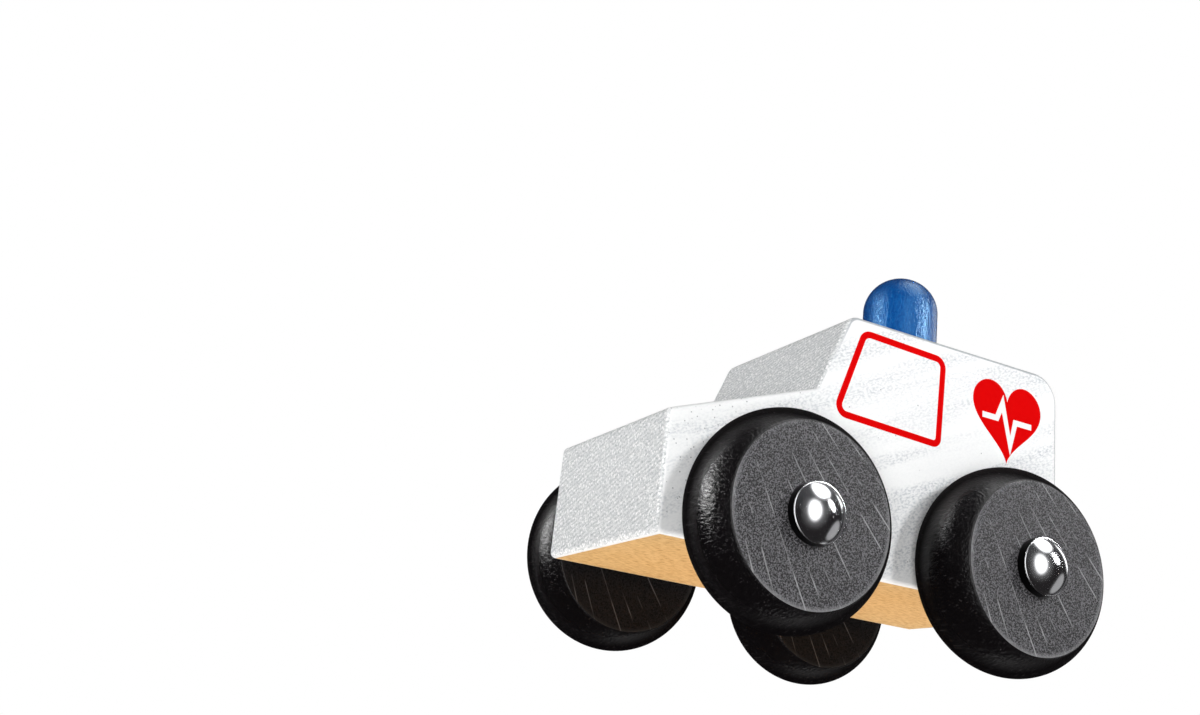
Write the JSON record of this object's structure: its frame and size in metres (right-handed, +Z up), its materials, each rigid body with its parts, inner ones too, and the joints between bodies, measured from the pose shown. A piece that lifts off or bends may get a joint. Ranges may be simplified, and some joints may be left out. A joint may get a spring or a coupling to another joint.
{
  "type": "toy ambulance",
  "caption": "Wooden toy ambulance with a bonnet: a sawn, white-lacquered block on big black turned wheels that roll freely on steel axles, with a blue beacon on its roof.",
  "frame": {"origin": "on the floor under the middle of the block, where the bounding box's bottom centre is", "axes": "+X points forward to the nose, +Y to the left side, +Z up; the toy is a mirror image about the XZ plane"},
  "size_m": [0.094, 0.0904, 0.0894],
  "materials": {
    "white_lacquered_beech": "satin white lacquer over beech, with the underside left bare",
    "blue_lacquered_beech": "gloss blue lacquer",
    "black_stained_beech": "black stain under clear satin lacquer",
    "bare_beech": "sanded bare wood",
    "chromed_steel": "bright chrome plate",
    "bright_steel": "bright drawn rod",
    "spring_steel": "oiled spring steel"
  },
  "bodies": {
    "body": {"body": "white_lacquered_beech", "beacon": "blue_lacquered_beech"},
    "front_axle_set": {"front_axle": "bright_steel", "front_left_spacer": "bare_beech", "front_left_cap": "chromed_steel", "front_left_retainer": "spring_steel", "front_right_spacer": "bare_beech", "front_right_cap": "chromed_steel", "front_right_retainer": "spring_steel"},
    "front_left_wheel": {"front_left_wheel": "black_stained_beech"},
    "front_right_wheel": {"front_right_wheel": "black_stained_beech"},
    "rear_axle_set": {"rear_axle": "bright_steel", "rear_left_spacer": "bare_beech", "rear_left_cap": "chromed_steel", "rear_left_retainer": "spring_steel", "rear_right_spacer": "bare_beech", "rear_right_cap": "chromed_steel", "rear_right_retainer": "spring_steel"},
    "rear_left_wheel": {"rear_left_wheel": "black_stained_beech"},
    "rear_right_wheel": {"rear_right_wheel": "black_stained_beech"}
  },
  "joints": [
    {"name": "front_axle_spin", "type": "hinge", "parent": "body", "child": "front_axle_set", "pos_m": [0.0268, 0, 0.02], "axis": [0, 1, 0], "continuous": true},
    {"name": "front_left_wheel_spin", "type": "hinge", "parent": "front_axle_set", "child": "front_left_wheel", "pos_m": [0.0268, 0.033, 0.02], "axis": [0, 1, 0], "continuous": true},
    {"name": "front_right_wheel_spin", "type": "hinge", "parent": "front_axle_set", "child": "front_right_wheel", "pos_m": [0.0268, -0.033, 0.02], "axis": [0, 1, 0], "continuous": true},
    {"name": "rear_axle_spin", "type": "hinge", "parent": "body", "child": "rear_axle_set", "pos_m": [-0.0244, 0, 0.02], "axis": [0, 1, 0], "continuous": true},
    {"name": "rear_left_wheel_spin", "type": "hinge", "parent": "rear_axle_set", "child": "rear_left_wheel", "pos_m": [-0.0244, 0.033, 0.02], "axis": [0, 1, 0], "continuous": true},
    {"name": "rear_right_wheel_spin", "type": "hinge", "parent": "rear_axle_set", "child": "rear_right_wheel", "pos_m": [-0.0244, -0.033, 0.02], "axis": [0, 1, 0], "continuous": true}
  ]
}
